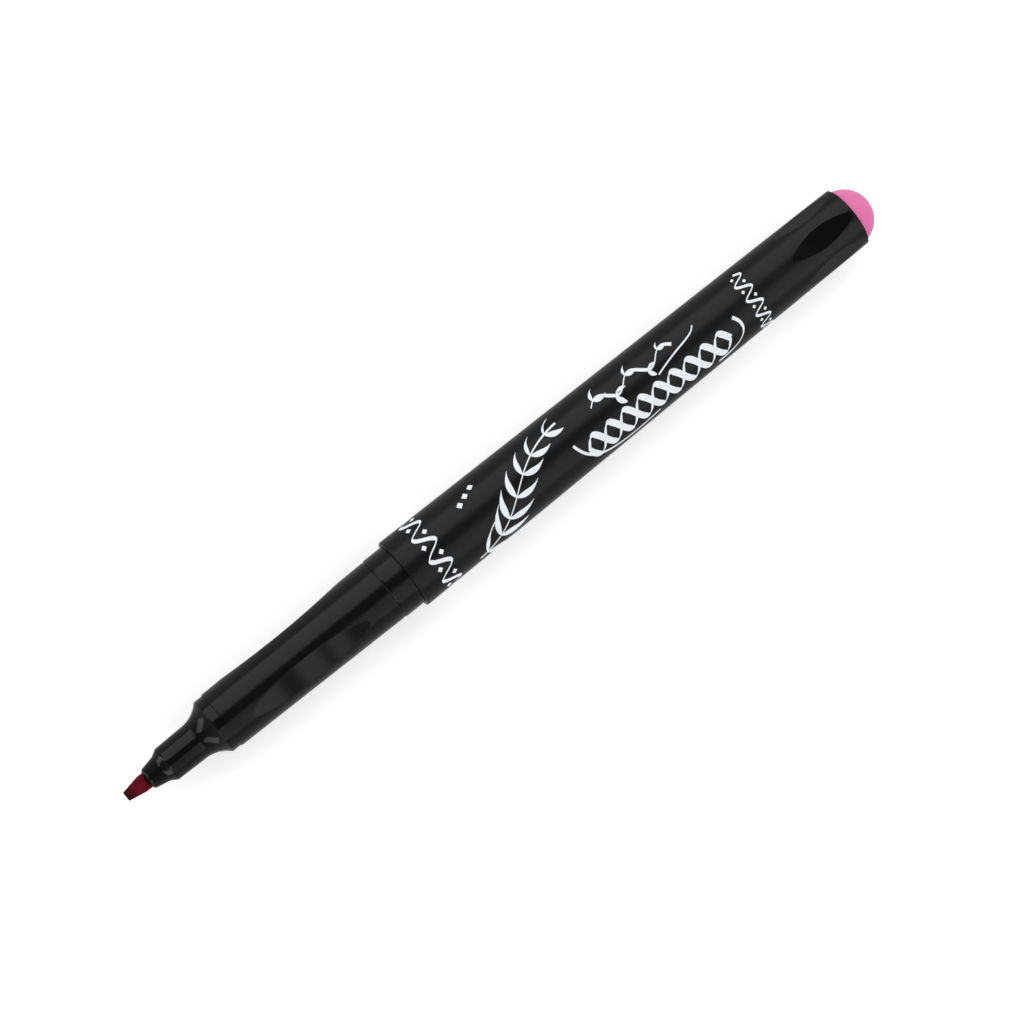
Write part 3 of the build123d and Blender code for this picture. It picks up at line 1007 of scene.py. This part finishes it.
# ======================================================================================================
# Floor, light and camera
# The marker lies on a light table of white opal acrylic, between long softboxes, with uprights beyond its
# nib and a lamp beyond its tail. The room above is dark. Reflections leave the table out, so that the glossy
# plastic stays dark.
# ======================================================================================================
board_size, board_glow = 3.0, 0.42
corner = board_size / 2
board = bpy.data.meshes.new("board")
board_corners = [(-corner, -corner, 0), (corner, -corner, 0), (corner, corner, 0), (-corner, corner, 0)]
board.from_pydata(board_corners, [], [(0, 1, 2, 3)])
floor_board = bpy.data.objects.new("board", board)
bpy.context.scene.collection.objects.link(floor_board)
opal_acrylic, tree, shader = new_material("opal_acrylic_lit_from_below_white")
shader.inputs["Base Color"].default_value = linear("#f4f4f4")
shader.inputs["Roughness"].default_value = 0.9
shader.inputs["Specular IOR Level"].default_value = 0.1
shader.inputs["Emission Color"].default_value = linear("#ffffff")
shader.inputs["Emission Strength"].default_value = board_glow
board.materials.append(opal_acrylic)
floor_board.visible_glossy = False


def softbox(name, place, back, length, width, radiance):
    """Rectangular lamp with its back towards a direction. Area A and radiance L need pi A L watts."""
    lamp = bpy.data.lights.new(name, "AREA")
    lamp.shape = "RECTANGLE"
    lamp.size, lamp.size_y = length, width
    lamp.energy = math.pi * length * width * radiance
    box = bpy.data.objects.new(name, lamp)
    box.location = place
    box.rotation_euler = Vector(back).to_track_quat("Z", "Y").to_euler()
    bpy.context.scene.collection.objects.link(box)


def aloft(around_z, up, distance=1.0):
    """Place at a distance from the marker: degrees round from +X towards +Y, then degrees up."""
    around_z, up = math.radians(around_z), math.radians(up)
    flat = math.cos(up)
    return Vector((math.cos(around_z) * flat, math.sin(around_z) * flat, math.sin(up))) * distance


# Long panels beside the marker: one on its left, and four on its right with gaps between their frames.
left, right = aloft(90, 45), aloft(-90, 43)
softbox("softbox_left", left + Vector((0.45, 0, 0)), left, length=1.5, width=1.10, radiance=1.30)
right_panels = [(-0.30, -0.087), (-0.044, -0.016), (0.000, 0.041), (0.073, 1.20)]
for i, (start, end) in enumerate(right_panels):
    middle = right + Vector(((start + end) / 2, 0, 0))
    softbox(f"softbox_right_{i + 1}", middle, right, length=end - start, width=0.98, radiance=1.05)
# Narrow uprights beyond the nib, on both sides, and one lamp beyond the tail.
for name, around_z in (("upright_right", 218), ("upright_left", 142)):
    upright = aloft(around_z, 24)
    softbox(name, upright, upright, length=0.36, width=0.95, radiance=2.0)
tail_lamp = aloft(0, 48, 1.35)
softbox("softbox_tail", tail_lamp, tail_lamp, length=0.8, width=0.8, radiance=2.2)

world = bpy.data.worlds.new("dark_room")
bpy.context.scene.world = world
world.use_nodes = True
tree = world.node_tree
tree.nodes.clear()
direction = add_node(tree, "ShaderNodeTexCoord").outputs["Generated"]
height = add_node(tree, "ShaderNodeSeparateXYZ", inputs={"Vector": direction}).outputs["Z"]
low_glow, high_glow = 0.62, 0.10
glow = add_node(tree, "ShaderNodeMapRange", inputs={"Value": height, "To Min": low_glow, "To Max": high_glow})
back = add_node(tree, "ShaderNodeBackground", inputs={"Strength": glow.outputs["Result"]})
add_node(tree, "ShaderNodeOutputWorld", inputs={"Surface": back.outputs["Background"]})

tilt, roll, distance = math.radians(7.9), math.radians(38.84), 0.6006
toward = Vector((-math.sin(tilt), 0, math.cos(tilt)))
along = (Vector((1, 0, 0)) - toward.x * toward).normalized()
across = toward.cross(along)
image_right = math.cos(roll) * along - math.sin(roll) * across
image_up = math.sin(roll) * along + math.cos(roll) * across
aim = Vector((-0.0005, -0.0028, axis_height))
place = aim + distance * toward
lens = bpy.data.cameras.new("camera")
lens.lens, lens.sensor_width = 149.06, 36
camera = bpy.data.objects.new("camera", lens)
rows = [(*row, place[i]) for i, row in enumerate(zip(image_right, image_up, toward))]
camera.matrix_world = Matrix(rows + [(0, 0, 0, 1)])
bpy.context.scene.collection.objects.link(camera)
bpy.context.scene.camera = camera
bpy.context.scene.view_settings.view_transform = "Standard"
